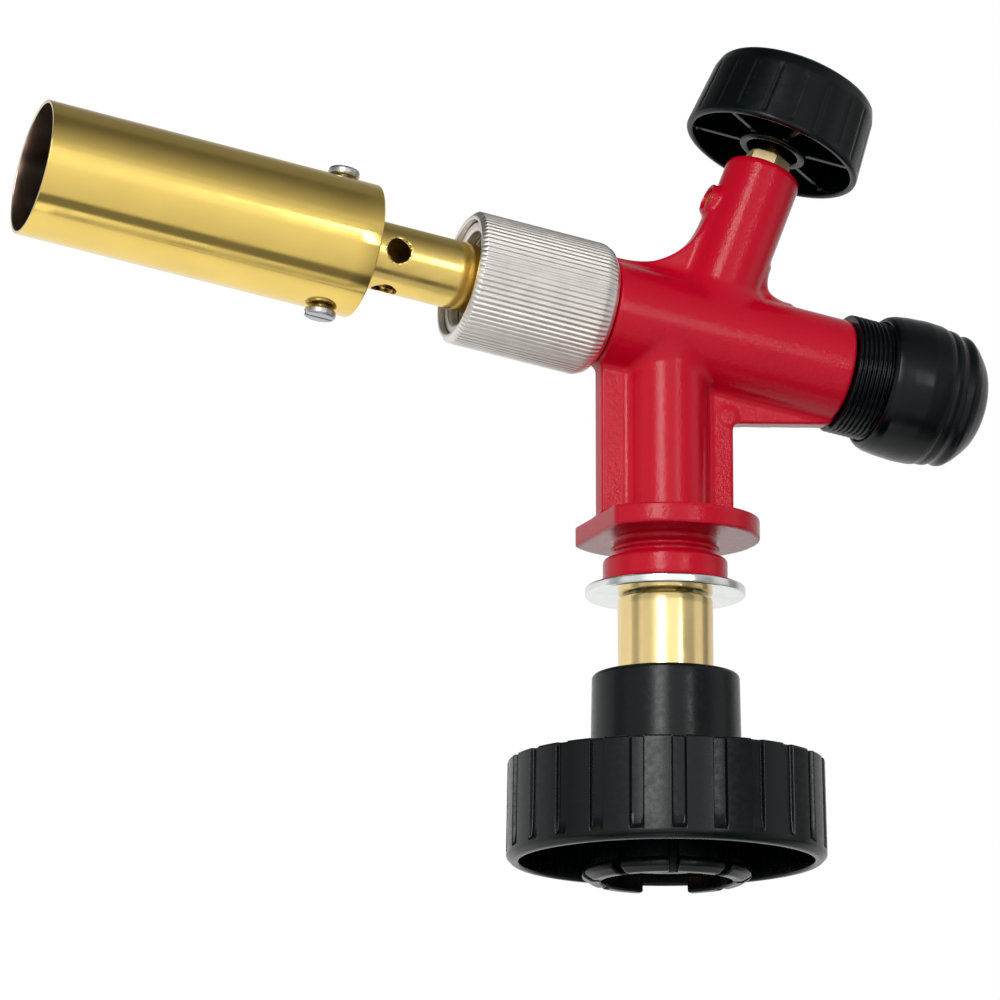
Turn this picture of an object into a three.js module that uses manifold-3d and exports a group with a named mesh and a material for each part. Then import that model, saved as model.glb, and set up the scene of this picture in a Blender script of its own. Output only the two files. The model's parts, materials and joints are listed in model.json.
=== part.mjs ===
// Hand-held gas torch head that screws onto a 7/16"-28 UNEF valve cartridge.
// Millimetres, +Z up. The origin is on the inlet axis, at the flat end of the inlet stem
// that the cartridge seals against. The burner points towards -X, and every axis lies in
// the plane Y = 0.
import * as THREE from 'three';
import { mergeVertices } from 'three/addons/utils/BufferGeometryUtils.js';
import Module from 'manifold-3d';

const wasm = await Module();
wasm.setup();

// ---------------------------------------------------------------- driving dimensions
const DEG = Math.PI / 180;
const GAP = 0.3; // clearance between pieces that touch
const BITE = 1; // how far the shapes of one solid run into each other, and cuts run past
const PAST = 5; // how far a bore runs on past an open end

const LARGE = 36; // sides of a round over 20 mm across
const MEDIUM = 26; // sides of a round of 10 to 20 mm
const SMALL = 16; // sides of a round of 4 to 10 mm
const TINY = 10; // sides of a small hole or pin

// Axes
const BARREL_HEIGHT = 92.5; // barrel axis above the origin, on the inlet axis
const BARREL_TILT = 9.45 * DEG; // barrel axis above the -X direction
const VALVE_FOOT = -7.4; // valve axis meets the barrel axis here, along the barrel
const VALVE_TILT = 21.5 * DEG; // valve axis leans from +Z towards +X

// Casting, along the inlet axis
const COLUMN_RADIUS = 8;
const COLLAR = { radius: 11.55, from: 43.6, to: 48.5 };
const NECK_RADIUS = 9.5;
const FLANGE = { radius: 17.55, from: 52.1, to: 55.9, flat: 13.8 };
const WEB = { half: 13, thickness: 4, ribBottom: 75, ribTip: 76.3, ribEnd: 32.4 };
const STEM_SOCKET = { radius: 5.3, to: 54.8 };
const SEAL_POCKET = { radius: 6.7, to: 45.6 };
const INLET_BORE = { radius: 2.2, to: 87 };

// Casting, along the barrel axis (positive towards the flame)
const BARREL = { radius: 10, from: -35, to: 12.4 };
const SPIGOT = { radius: 9, to: 26 };
const JET_SOCKET = { radius: 3.2, from: 13.5 };
const JET_RECESS = { radius: 5.6, from: 20.4 };
const REGULATOR_BORE = { radius: 7.5, to: -19.6 };
const PASSAGE = { radius: 1.3, low: -4.6, high: 5 };

// Casting, along the valve axis (zero where it meets the barrel axis)
const BRANCH = { radius: 7.25, to: 35.6, edge: 1.2 };
const BOSS = { radius: 2.95, at: 25.7, reach: 8.7, bore: 2.2, boreFrom: 4.8 };
const PORT_PLUG = { radius: 1.9, from: 5.4, sunk: 0.5, slot: 0.8, slotDepth: 0.7 };
const GLAND_BORE = { radius: 4, from: 28 };
const SPINDLE_BORE = { radius: 2.6, from: 7 };
const SEAT_BORE = { radius: 1.2 };
const GUSSET = { thickness: 4, flameSide: 18, rearSide: 5 };

// Cartridge coupling, along the inlet axis
const STEM = {
  radius: 5, to: 54.5, flange: 7.5, flangeTo: 3.2, bore: 1.6, counterbore: 3,
  counterboreTo: 7,
};
const DEPRESSOR = { radius: 1.1, from: -2.4, to: 3.6, spoke: 1.4, spokeFrom: 1.4, spokeTo: 3.4 };
const FILTER_FROM = 4.2;
const STEM_RING_MIDDLE = 44.6;
const SEAL = { inner: 3.85, outer: 4.95, from: -0.5, to: 0.9 };
const SLEEVE = { radius: 8.8, from: -8, to: 41.2, bore: 5.3, pocket: 7.9, pocketTo: 3.6, edge: 0.8 };
const THREAD_RING = { outer: 7.6, inner: 5.4, from: -8.4, to: -0.6 };
const WASHER = { radius: 14.8, inner: 5.4, from: 41.5, to: 43.3, edge: 0.3 };

// Handwheel
const WHEEL = {
  radius: 29.4, topRadius: 29.1, from: -7.4, to: 10.8, wall: 2.3, draft: 0.4, web: 2.4,
  edge: 0.9,
};
const HUB = { radius: 13.9, topRadius: 13.6, to: 26.9, edge: 1, bore: 9.1, core: 11.2, from: -8.3 };
const SNAP = {
  inner: 12.1, outer: 13.9, lip: 15.5, from: -11.65, lipFrom: -10.65, lipTo: -9.3,
  slotTop: -3, to: 8.1, tabs: 8,
};
const SNAP_ARC = {
  tab: 35 * DEG, slot: 6.7 * DEG, middle: -105.5 * DEG, gap: 39 * DEG, gapMiddle: 70.8 * DEG,
};

// Control valve and knob, along the valve axis
const SPINDLE = {
  radius: 2, tip: 9.6, tipRadius: 0.5, cone: 13, to: 50.8, groove: 1.4, grooveAt: 26,
  halfGroove: 0.9,
};
const GLAND = { shank: 3.7, acrossFlats: 7.8, from: 28.4, to: 38.4, bore: 2.3 };
const KNOB = {
  rim: 39.3, rimRadius: 17, shoulder: 52, shoulderRadius: 15.9, top: 55.3,
  topRadius: 12.4,
};
const KNOB_EDGE = { radius: 15.2, below: 1.3 };
const KNOB_HUB = {
  radius: 6.5, recess: 5, from: 39.8, core: 44, boreTo: 51.2, wall: 1.3, roof: 2, ribs: 6,
  rib: 1, ribFrom: 40.8,
};

// Regulator, along the barrel axis
const BONNET = { thread: 11.25, spigot: 7.2, bore: 6.2, from: -56, shoulder: -35.3, to: -28.6, edge: 0.5 };
const CAP = { end: -64.2, open: -42.2, bore: 11.55, boreTo: -58.8, boss: 4.5, bossTo: -54.9 };
const CAP_SIDE = [ // radius, and height above the cap's end
  [0, 0],
  [4, 0.3],
  [6.4, 0.8],
  [8.6, 1.8],
  [10.1, 3],
  [11.5, 4.3],
  [12.4, 5.5],
  [12.5, 6.2],
  [12.2, 7.2],
  [12.9, 8.5],
  [13, 9.4],
  [13.4, 11.4],
  [13.55, 14.5],
  [13.3, 18.2],
  [13, 20.3],
  [12.6, 21.4],
  [12, 22],
];
const SPRING_PLATE = { radius: 5.8, from: -54.6, to: -53 };
const SPRING = { radius: 5, wire: 0.6, from: -52.3, to: -30, turns: 7 };
const PISTON = {
  radius: 7.2, from: -27.6, to: -20, groove: 6.2, grooveAt: -23.6, halfGroove: 1, pad: 2.7,
  padDepth: 1.6,
};

// Union nut and burner, along the barrel axis
const NUT = { radius: 12.5, from: 12.9, to: 40.7, thread: 9.3, lipFrom: 29.6, lipTo: 32.2, lipBore: 6.75 };
const NUT_FACE = { recess: 10.9, from: 37.4, well: 8.9, rearEdge: 2.1, frontEdge: 0.9 };
const NUT_RING = { outer: 10.55, inner: 8.9, from: 37.7, to: 39.7 };
const MIXING_TUBE = { radius: 6.35, bore: 5.45, from: 26.4, to: 70, holesAt: 54.6, hole: 2.35 };
const TUBE_COLLAR = { radius: 8.6, from: 26.4, to: 29.2 };
const JET = {
  shank: 2.9, hex: 8, from: 14, hexFrom: 20.8, hexTo: 25.4, to: 31, neck: 2.8, tip: 2.2,
  nose: 1.2, bore: 0.5,
};
const FLAME_TUBE = { radius: 12.5, wall: 0.6, from: 59.9, to: 123.5, edge: 0.4 };
const HEAD = {
  radius: 11.6, from: 60.5, to: 73, edge: 1, socketTo: 70.4, port: 5, ring: 8.9, holes: 12,
  hole: 0.9, tapFrom: 7.25,
};
const SCREW = { at: 65.8, head: 2.95, headHeight: 1.6, shank: 1.3, hole: 1.65, length: 5, edge: 0.4 };
const SCREW_SLOT = { width: 0.8, depth: 0.8 };

// ---------------------------------------------------------------- materials
function paint(color, roughness, metalness) {
  return new THREE.MeshStandardMaterial({ color, roughness, metalness });
}

const RED_PAINT = paint(0xb81629, 0.3, 0);
const BRASS = paint(0xd9b45a, 0.22, 1);
const NICKEL = paint(0xd6d2cc, 0.32, 1);
const STEEL = paint(0xc9cccd, 0.18, 1);
const BLACK_PLASTIC = paint(0x1c2022, 0.45, 0);
const RUBBER = paint(0x101112, 0.8, 0);
const SINTER = paint(0xa07d4c, 0.9, 0.6);

// ---------------------------------------------------------------- solids
function signedVolume(positions, corners) {
  const [a, b, c] = [new THREE.Vector3(), new THREE.Vector3(), new THREE.Vector3()];
  let six = 0;
  for (let i = 0; i < corners.length; i += 3) {
    a.fromArray(positions, 3 * corners[i]);
    b.fromArray(positions, 3 * corners[i + 1]);
    c.fromArray(positions, 3 * corners[i + 2]);
    six += a.dot(b.cross(c));
  }
  return six / 6;
}

// A closed solid from a three.js geometry, with its faces pointing out.
function solid(geometry) {
  const bare = geometry.clone();
  bare.deleteAttribute('normal');
  bare.deleteAttribute('uv');
  const merged = mergeVertices(bare, 1e-4);
  const positions = merged.attributes.position.array;
  const index = merged.index.array;
  const corners = [];
  for (let i = 0; i < index.length; i += 3) {
    const [a, b, c] = [index[i], index[i + 1], index[i + 2]];
    if (a !== b && b !== c && c !== a) corners.push(a, b, c);
  }
  if (signedVolume(positions, corners) < 0) corners.reverse();
  const data = {
    numProp: 3,
    vertProperties: new Float32Array(positions),
    triVerts: new Uint32Array(corners),
  };
  return new wasm.Manifold(new wasm.Mesh(data));
}

// A round solid about the Z axis, from a closed outline of [radius, height] points.
function turned(outline, sides) {
  const points = [...outline, outline[0]].map(([radius, height]) => new THREE.Vector2(radius, height));
  return solid(new THREE.LatheGeometry(points, sides).rotateX(Math.PI / 2));
}

const rod = (radius, from, to, sides) => turned([[0, from], [radius, from], [radius, to], [0, to]], sides);
const ring = (inner, outer, from, to, sides) =>
  turned([[inner, from], [outer, from], [outer, to], [inner, to]], sides);

// A plate standing in the plane Y = 0: the shape's x runs along Z and its y along X.
function plate(shape, thickness) {
  const options = { depth: thickness, bevelEnabled: false, curveSegments: 8 };
  const geometry = new THREE.ExtrudeGeometry(shape, options);
  geometry.translate(0, 0, -thickness / 2);
  const upright = new THREE.Matrix4().makeBasis(
    new THREE.Vector3(0, 0, 1), new THREE.Vector3(1, 0, 0), new THREE.Vector3(0, 1, 0));
  return solid(geometry.applyMatrix4(upright));
}

function block(sizeX, sizeY, sizeZ, x, y, z) {
  return solid(new THREE.BoxGeometry(sizeX, sizeY, sizeZ).translate(x, y, z));
}

// A hexagonal bar along Z.
const hexBar = (acrossFlats, from, to) => rod(acrossFlats / Math.sqrt(3), from, to, 6);

// A rod across the axis: it points along the local X direction turned by an angle about Z.
function crossRod(radius, from, to, height, angle, sides) {
  const matrix = new THREE.Matrix4().makeRotationZ(angle);
  matrix.multiply(new THREE.Matrix4().makeTranslation(0, 0, height));
  matrix.multiply(new THREE.Matrix4().makeRotationY(Math.PI / 2));
  return rod(radius, from, to, sides).transform(matrix.elements);
}

const joined = (first, ...others) => others.reduce((sum, next) => sum.add(next), first);
const cut = (first, ...tools) => tools.reduce((rest, tool) => rest.subtract(tool), first);

function mesh(name, body, material) {
  const { numProp, vertProperties, triVerts } = body.getMesh();
  const geometry = new THREE.BufferGeometry();
  geometry.setAttribute('position', new THREE.BufferAttribute(vertProperties, numProp));
  geometry.setIndex(new THREE.BufferAttribute(triVerts, 1));
  geometry.computeVertexNormals();
  const part = new THREE.Mesh(geometry, material);
  part.name = name;
  return part;
}

// ---------------------------------------------------------------- frames
function frameAt(x, z, turn) {
  const frame = new THREE.Group();
  frame.position.set(x, 0, z);
  frame.rotation.y = turn;
  frame.updateMatrix();
  return frame;
}

const barrelFrame = frameAt(0, BARREL_HEIGHT, BARREL_TILT - Math.PI / 2);
const valveFrame = frameAt(
  -VALVE_FOOT * Math.cos(BARREL_TILT),
  BARREL_HEIGHT + VALVE_FOOT * Math.sin(BARREL_TILT),
  VALVE_TILT,
);
const onBarrel = (body) => body.transform(barrelFrame.matrix.elements);
const onValve = (body) => body.transform(valveFrame.matrix.elements);

// ---------------------------------------------------------------- casting
function columnWeb() {
  const endHeight = BARREL_HEIGHT - WEB.ribEnd * Math.tan(BARREL_TILT);
  const leftHeight = BARREL_HEIGHT + WEB.half * Math.tan(BARREL_TILT);
  const outline = [
    [FLANGE.from + BITE, -WEB.half],
    [leftHeight, -WEB.half],
    [endHeight, WEB.ribEnd],
    [WEB.ribTip, WEB.ribEnd],
    [WEB.ribBottom, WEB.half],
    [FLANGE.from + BITE, WEB.half],
  ];
  return plate(new THREE.Shape(outline.map(([z, x]) => new THREE.Vector2(z, x))), WEB.thickness);
}

// One side of the gusset where the branch leaves the barrel: a round of the given radius,
// tangent to the barrel's top and to the branch's side.
function gussetSide(radius, side) {
  const lean = VALVE_TILT - BARREL_TILT;
  const axisShift = BRANCH.radius / Math.cos(lean);
  const corner = VALVE_FOOT + side * axisShift - BARREL.radius * Math.tan(lean);
  const opening = Math.PI / 2 + side * lean;
  const tangent = radius / Math.tan(opening / 2);
  const centre = new THREE.Vector2(corner + side * tangent, BARREL.radius + radius);
  const shape = new THREE.Shape();
  shape.moveTo(centre.x, BARREL.radius - BITE);
  shape.lineTo(centre.x, BARREL.radius);
  const start = -Math.PI / 2;
  const sweep = side * (opening - Math.PI);
  shape.absarc(centre.x, centre.y, radius, start, start + sweep, sweep < 0);
  shape.lineTo(VALVE_FOOT - centre.y * Math.tan(lean), centre.y);
  shape.lineTo(VALVE_FOOT, BARREL.radius - BITE);
  return onBarrel(plate(shape, GUSSET.thickness));
}

function flangeDisc() {
  const disc = rod(FLANGE.radius, FLANGE.from, FLANGE.to, LARGE);
  const beyond = FLANGE.radius;
  const middle = (FLANGE.from + FLANGE.to) / 2;
  return disc.subtract(block(beyond, 3 * beyond, beyond, -FLANGE.flat - beyond / 2, 0, middle));
}

function castingBlank() {
  const branchOutline = [
    [0, 0],
    [BRANCH.radius, 0],
    [BRANCH.radius, BRANCH.to - BRANCH.edge],
    [BRANCH.radius - BRANCH.edge, BRANCH.to],
    [0, BRANCH.to],
  ];
  return joined(
    rod(COLUMN_RADIUS, FLANGE.from, BARREL_HEIGHT, MEDIUM),
    flangeDisc(),
    rod(NECK_RADIUS, COLLAR.to - BITE, FLANGE.from + BITE, MEDIUM),
    rod(COLLAR.radius, COLLAR.from, COLLAR.to, LARGE),
    columnWeb(),
    onBarrel(rod(BARREL.radius, BARREL.from, BARREL.to, LARGE)),
    onBarrel(rod(SPIGOT.radius, BARREL.to - BITE, SPIGOT.to, MEDIUM)),
    onValve(turned(branchOutline, MEDIUM)),
    onValve(crossRod(BOSS.radius, BITE, BOSS.reach, BOSS.at, Math.PI, SMALL)),
    gussetSide(GUSSET.flameSide, 1),
    gussetSide(GUSSET.rearSide, -1),
  );
}

// The gas runs up the column, back to the regulator, forward to the valve chamber, down
// through the valve seat and along the barrel axis to the jet.
function gasWays() {
  const chamberEnd = REGULATOR_BORE.to - BITE;
  const lowWay = rod(PASSAGE.radius, chamberEnd, BITE, TINY).translate(PASSAGE.low, 0, 0);
  const highWay = rod(PASSAGE.radius, chamberEnd, VALVE_FOOT - BITE, TINY).translate(PASSAGE.high, 0, 0);
  const port = crossRod(BOSS.bore, BOSS.boreFrom, BOSS.reach + PAST, BOSS.at, Math.PI, TINY);
  return [
    rod(SEAL_POCKET.radius, COLLAR.from - PAST, SEAL_POCKET.to, MEDIUM),
    rod(STEM_SOCKET.radius, COLLAR.from, STEM_SOCKET.to, SMALL),
    rod(INLET_BORE.radius, COLLAR.from, INLET_BORE.to, TINY),
    onBarrel(rod(REGULATOR_BORE.radius, BARREL.from - PAST, REGULATOR_BORE.to, MEDIUM)),
    onBarrel(lowWay),
    onBarrel(highWay),
    onBarrel(rod(PASSAGE.radius, VALVE_FOOT, SPIGOT.to, TINY)),
    onBarrel(rod(JET_SOCKET.radius, JET_SOCKET.from, SPIGOT.to + PAST, SMALL)),
    onBarrel(rod(JET_RECESS.radius, JET_RECESS.from, SPIGOT.to + PAST, SMALL)),
    onValve(rod(SEAT_BORE.radius, 0, SPINDLE_BORE.from, TINY)),
    onValve(rod(SPINDLE_BORE.radius, SPINDLE_BORE.from, BRANCH.to, SMALL)),
    onValve(rod(GLAND_BORE.radius, GLAND_BORE.from, BRANCH.to + PAST, SMALL)),
    onValve(port),
  ];
}

const bodyCasting = () => mesh('body_casting', cut(castingBlank(), ...gasWays()), RED_PAINT);

// ---------------------------------------------------------------- cartridge coupling
function inletStem() {
  const outline = [
    [STEM.counterbore, 0],
    [SEAL.inner - GAP, 0],
    [SEAL.inner - GAP, SEAL.to + GAP],
    [SEAL.outer + GAP, SEAL.to + GAP],
    [SEAL.outer + GAP, 0],
    [STEM.flange, 0],
    [STEM.flange, STEM.flangeTo],
    [STEM.radius, STEM.flangeTo],
    [STEM.radius, STEM.to],
    [STEM.bore, STEM.to],
    [STEM.bore, STEM.counterboreTo],
    [STEM.counterbore, STEM.counterboreTo],
  ];
  return mesh('inlet_stem', turned(outline, MEDIUM), BRASS);
}

function cartridgeSeal() {
  return mesh('cartridge_seal', ring(SEAL.inner, SEAL.outer, SEAL.from, SEAL.to, SMALL), RUBBER);
}

function depressorPin() {
  const reach = STEM.counterbore - GAP;
  const { radius, from, to, spoke, spokeFrom, spokeTo } = DEPRESSOR;
  const height = spokeTo - spokeFrom;
  const middle = (spokeTo + spokeFrom) / 2;
  const shapes = [
    rod(radius, from, to, TINY),
    block(2 * reach, spoke, height, 0, 0, middle),
    block(spoke, 2 * reach, height, 0, 0, middle),
  ];
  return mesh('depressor_pin', joined(...shapes), STEEL);
}

function inletFilter() {
  const disc = rod(STEM.counterbore - GAP, FILTER_FROM, STEM.counterboreTo - GAP, SMALL);
  return mesh('inlet_filter', disc, SINTER);
}

// A rubber ring of rounded section, given by its inner and outer radius and its middle.
function oRing(name, inner, outer, middle, sides) {
  const section = (outer - inner) / 2;
  const facets = 8;
  const outline = [];
  for (let i = 0; i < facets; i++) {
    const angle = (2 * Math.PI * (i + 0.5)) / facets;
    outline.push([inner + section + section * Math.cos(angle), middle + section * Math.sin(angle)]);
  }
  return mesh(name, turned(outline, sides), RUBBER);
}

function couplingSleeve() {
  const outline = [
    [SLEEVE.pocket, SLEEVE.from],
    [SLEEVE.radius, SLEEVE.from],
    [SLEEVE.radius, SLEEVE.to - SLEEVE.edge],
    [SLEEVE.radius - SLEEVE.edge, SLEEVE.to],
    [SLEEVE.bore, SLEEVE.to],
    [SLEEVE.bore, SLEEVE.pocketTo],
    [SLEEVE.pocket, SLEEVE.pocketTo],
  ];
  return mesh('coupling_sleeve', turned(outline, MEDIUM), BRASS);
}

function threadedRing() {
  const { inner, outer, from, to } = THREAD_RING;
  return mesh('threaded_ring', ring(inner, outer, from, to, MEDIUM), BRASS);
}

function thrustWasher() {
  const { radius, inner, from, to, edge } = WASHER;
  const outline = [
    [inner, from],
    [radius - edge, from],
    [radius, from + edge],
    [radius, to - edge],
    [radius - edge, to],
    [inner, to],
  ];
  return mesh('thrust_washer', turned(outline, LARGE), STEEL);
}

// ---------------------------------------------------------------- handwheel
function handwheel() {
  const under = WHEEL.to - WHEEL.web;
  const inside = WHEEL.radius - WHEEL.wall;
  const outline = [
    [HUB.bore, HUB.from],
    [HUB.core, HUB.from],
    [HUB.core, under],
    [inside - WHEEL.draft, under],
    [inside, WHEEL.from],
    [WHEEL.radius - WHEEL.edge, WHEEL.from],
    [WHEEL.radius, WHEEL.from + WHEEL.edge],
    [WHEEL.topRadius, WHEEL.to - WHEEL.edge],
    [WHEEL.topRadius - WHEEL.edge, WHEEL.to],
    [HUB.radius, WHEEL.to],
    [HUB.topRadius, HUB.to - HUB.edge],
    [HUB.topRadius - HUB.edge, HUB.to],
    [HUB.bore, HUB.to],
  ];
  return mesh('handwheel', turned(outline, LARGE), BLACK_PLASTIC);
}

// A collar of hooked tabs clipped under the wheel. Narrow slots part the tabs, and one wide
// gap is left about opposite the middle slot.
function snapRing() {
  const outline = [
    [SNAP.inner, SNAP.from],
    [SNAP.outer, SNAP.from],
    [SNAP.lip, SNAP.lipFrom],
    [SNAP.lip, SNAP.lipTo],
    [SNAP.outer, SNAP.lipTo],
    [SNAP.outer, SNAP.to],
    [SNAP.inner, SNAP.to],
  ];
  const collar = turned(outline, LARGE);
  const pitch = SNAP_ARC.tab + SNAP_ARC.slot;
  const slots = [slotAt(SNAP_ARC.gapMiddle, SNAP_ARC.gap)];
  for (let i = 1; i < SNAP.tabs; i++) {
    slots.push(slotAt(SNAP_ARC.middle + (i - SNAP.tabs / 2) * pitch, SNAP_ARC.slot));
  }
  return mesh('snap_ring', cut(collar, ...slots), BLACK_PLASTIC);
}

// A wedge that parts two tabs, from the wheel's axis outwards.
function slotAt(angle, width) {
  const side = (SNAP.lip + BITE) / Math.cos(width / 2);
  const shape = new THREE.Shape([
    new THREE.Vector2(0, 0),
    new THREE.Vector2(side * Math.cos(angle - width / 2), side * Math.sin(angle - width / 2)),
    new THREE.Vector2(side * Math.cos(angle + width / 2), side * Math.sin(angle + width / 2)),
  ]);
  const foot = SNAP.from - BITE;
  const geometry = new THREE.ExtrudeGeometry(shape, { depth: SNAP.slotTop - foot, bevelEnabled: false });
  return solid(geometry.translate(0, 0, foot));
}

// ---------------------------------------------------------------- control valve
function glandNut() {
  const shank = rod(GLAND.shank, GLAND.from, BRANCH.to + BITE, SMALL);
  const head = hexBar(GLAND.acrossFlats, BRANCH.to + GAP, GLAND.to);
  const bore = rod(GLAND.bore, GLAND.from - BITE, GLAND.to + BITE, TINY);
  return mesh('gland_nut', cut(shank.add(head), bore), BRASS);
}

function valveSpindle() {
  const { radius, groove, grooveAt, halfGroove } = SPINDLE;
  const outline = [
    [0, SPINDLE.tip],
    [SPINDLE.tipRadius, SPINDLE.tip],
    [radius, SPINDLE.cone],
    [radius, grooveAt - halfGroove],
    [groove, grooveAt - halfGroove],
    [groove, grooveAt + halfGroove],
    [radius, grooveAt + halfGroove],
    [radius, SPINDLE.to],
    [0, SPINDLE.to],
  ];
  return mesh('valve_spindle', turned(outline, SMALL), BRASS);
}

// The plug sits in the hole of the branch's side boss.
function portPlug() {
  const { radius, from, sunk, slot, slotDepth } = PORT_PLUG;
  const face = BOSS.reach - sunk;
  const plug = crossRod(radius, from, face, BOSS.at, Math.PI, TINY);
  const groove = block(2 * slotDepth, slot, 2 * radius + BITE, -face, 0, BOSS.at);
  return mesh('port_plug', plug.subtract(groove), BRASS);
}

function knobCup() {
  const roof = KNOB.top - KNOB_HUB.roof;
  const wall = KNOB_HUB.wall;
  const outline = [
    [0, KNOB.top],
    [KNOB.topRadius, KNOB.top],
    [KNOB_EDGE.radius, KNOB.top - KNOB_EDGE.below],
    [KNOB.shoulderRadius, KNOB.shoulder],
    [KNOB.rimRadius, KNOB.rim],
    [KNOB.rimRadius - wall, KNOB.rim],
    [KNOB.shoulderRadius - wall, roof],
    [0, roof],
  ];
  return turned(outline, LARGE);
}

function knobRib(angle) {
  const top = KNOB.top - KNOB_HUB.roof / 2;
  const bottom = KNOB_HUB.ribFrom;
  const reach = KNOB.shoulderRadius - KNOB_HUB.wall / 2;
  const start = KNOB_HUB.radius - BITE / 2;
  const rib = block(reach - start, KNOB_HUB.rib, top - bottom, (reach + start) / 2, 0, (top + bottom) / 2);
  return rib.rotate(0, 0, angle / DEG);
}

function controlKnob() {
  const ribs = [];
  for (let i = 0; i < KNOB_HUB.ribs; i++) {
    ribs.push(knobRib((2 * Math.PI * (i + 0.5)) / KNOB_HUB.ribs));
  }
  const hub = rod(KNOB_HUB.radius, KNOB_HUB.from, KNOB.top - KNOB_HUB.roof / 2, MEDIUM);
  const recess = rod(KNOB_HUB.recess, KNOB_HUB.from - BITE, KNOB_HUB.core, MEDIUM);
  const bore = rod(SPINDLE.radius + GAP, KNOB_HUB.from, KNOB_HUB.boreTo, SMALL);
  return mesh('control_knob', cut(joined(knobCup(), hub, ...ribs), recess, bore), BLACK_PLASTIC);
}

// ---------------------------------------------------------------- regulator
function regulatorBonnet() {
  const outline = [
    [BONNET.bore, BONNET.from],
    [BONNET.thread - BONNET.edge, BONNET.from],
    [BONNET.thread, BONNET.from + BONNET.edge],
    [BONNET.thread, BONNET.shoulder],
    [BONNET.spigot, BONNET.shoulder],
    [BONNET.spigot, BONNET.to],
    [BONNET.bore, BONNET.to],
  ];
  return mesh('regulator_bonnet', turned(outline, LARGE), BLACK_PLASTIC);
}

// The cap swells from its open lip to its middle, has two grooves and ends in a dome.
function adjusterCap() {
  const outline = [
    [CAP.bore, CAP.open],
    [CAP.bore, CAP.boreTo],
    [CAP.boss, CAP.boreTo],
    [CAP.boss, CAP.bossTo],
    [0, CAP.bossTo],
    ...CAP_SIDE.map(([radius, height]) => [radius, CAP.end + height]),
  ];
  return mesh('adjuster_cap', turned(outline, LARGE), BLACK_PLASTIC);
}

function springPlate() {
  return mesh('spring_plate', rod(SPRING_PLATE.radius, SPRING_PLATE.from, SPRING_PLATE.to, SMALL), STEEL);
}

class Helix extends THREE.Curve {
  getPoint(t) {
    const angle = 2 * Math.PI * SPRING.turns * t;
    const height = SPRING.from + (SPRING.to - SPRING.from) * t;
    return new THREE.Vector3(SPRING.radius * Math.cos(angle), SPRING.radius * Math.sin(angle), height);
  }
}

function regulatorSpring() {
  const wire = new THREE.Shape();
  wire.absarc(0, 0, SPRING.wire, 0, 2 * Math.PI);
  const options = { steps: 10 * SPRING.turns, extrudePath: new Helix(), curveSegments: 3 };
  return mesh('regulator_spring', solid(new THREE.ExtrudeGeometry(wire, options)), STEEL);
}

function regulatorPiston() {
  const { radius, from, to, groove, grooveAt, halfGroove, pad, padDepth } = PISTON;
  const outline = [
    [0, from],
    [radius, from],
    [radius, grooveAt - halfGroove],
    [groove, grooveAt - halfGroove],
    [groove, grooveAt + halfGroove],
    [radius, grooveAt + halfGroove],
    [radius, to],
    [pad, to],
    [pad, to - padDepth],
    [0, to - padDepth],
  ];
  return mesh('regulator_piston', turned(outline, MEDIUM), BRASS);
}

function pistonPad() {
  const pad = rod(PISTON.pad - GAP, PISTON.to - PISTON.padDepth + GAP, PISTON.to + 0.1, SMALL);
  return mesh('piston_pad', pad, RUBBER);
}

// ---------------------------------------------------------------- union nut and burner
function unionNut() {
  const rear = NUT_FACE.rearEdge;
  const front = NUT_FACE.frontEdge;
  const outline = [
    [NUT.thread, NUT.from],
    [NUT.radius - rear, NUT.from],
    [NUT.radius - 0.3 * rear, NUT.from + 0.5 * rear],
    [NUT.radius, NUT.from + 1.3 * rear],
    [NUT.radius, NUT.to - front],
    [NUT.radius - front, NUT.to],
    [NUT_FACE.recess, NUT.to],
    [NUT_FACE.recess, NUT_FACE.from],
    [NUT_FACE.well, NUT_FACE.from],
    [NUT_FACE.well, NUT.lipTo],
    [NUT.lipBore, NUT.lipTo],
    [NUT.lipBore, NUT.lipFrom],
    [NUT.thread, NUT.lipFrom],
  ];
  return mesh('union_nut', turned(outline, LARGE), NICKEL);
}

function nutRing() {
  const { inner, outer, from, to } = NUT_RING;
  return mesh('nut_ring', ring(inner, outer, from, to, LARGE), NICKEL);
}

function gasJet() {
  const profile = [
    [0, JET.hexTo - BITE],
    [JET.neck, JET.hexTo - BITE],
    [JET.tip, JET.hexTo + BITE],
    [JET.tip, JET.to - BITE],
    [JET.nose, JET.to],
    [0, JET.to],
  ];
  const shank = rod(JET.shank, JET.from, JET.hexFrom + BITE, SMALL);
  const body = joined(shank, hexBar(JET.hex, JET.hexFrom, JET.hexTo), turned(profile, SMALL));
  return mesh('gas_jet', body.subtract(rod(JET.bore, JET.from - BITE, JET.to + BITE, TINY)), BRASS);
}

function mixingTube() {
  const { radius, bore, from, to, hole, holesAt } = MIXING_TUBE;
  const tube = ring(bore, radius, from, to, MEDIUM);
  const holes = [0, 1, 2, 3].map((quarter) =>
    crossRod(hole, bore - BITE, radius + BITE, holesAt, (quarter * Math.PI) / 2, TINY));
  return mesh('mixing_tube', cut(tube, ...holes), BRASS);
}

function tubeCollar() {
  const { radius, from, to } = TUBE_COLLAR;
  return mesh('tube_collar', ring(MIXING_TUBE.radius + GAP, radius, from, to, MEDIUM), BRASS);
}

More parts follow.
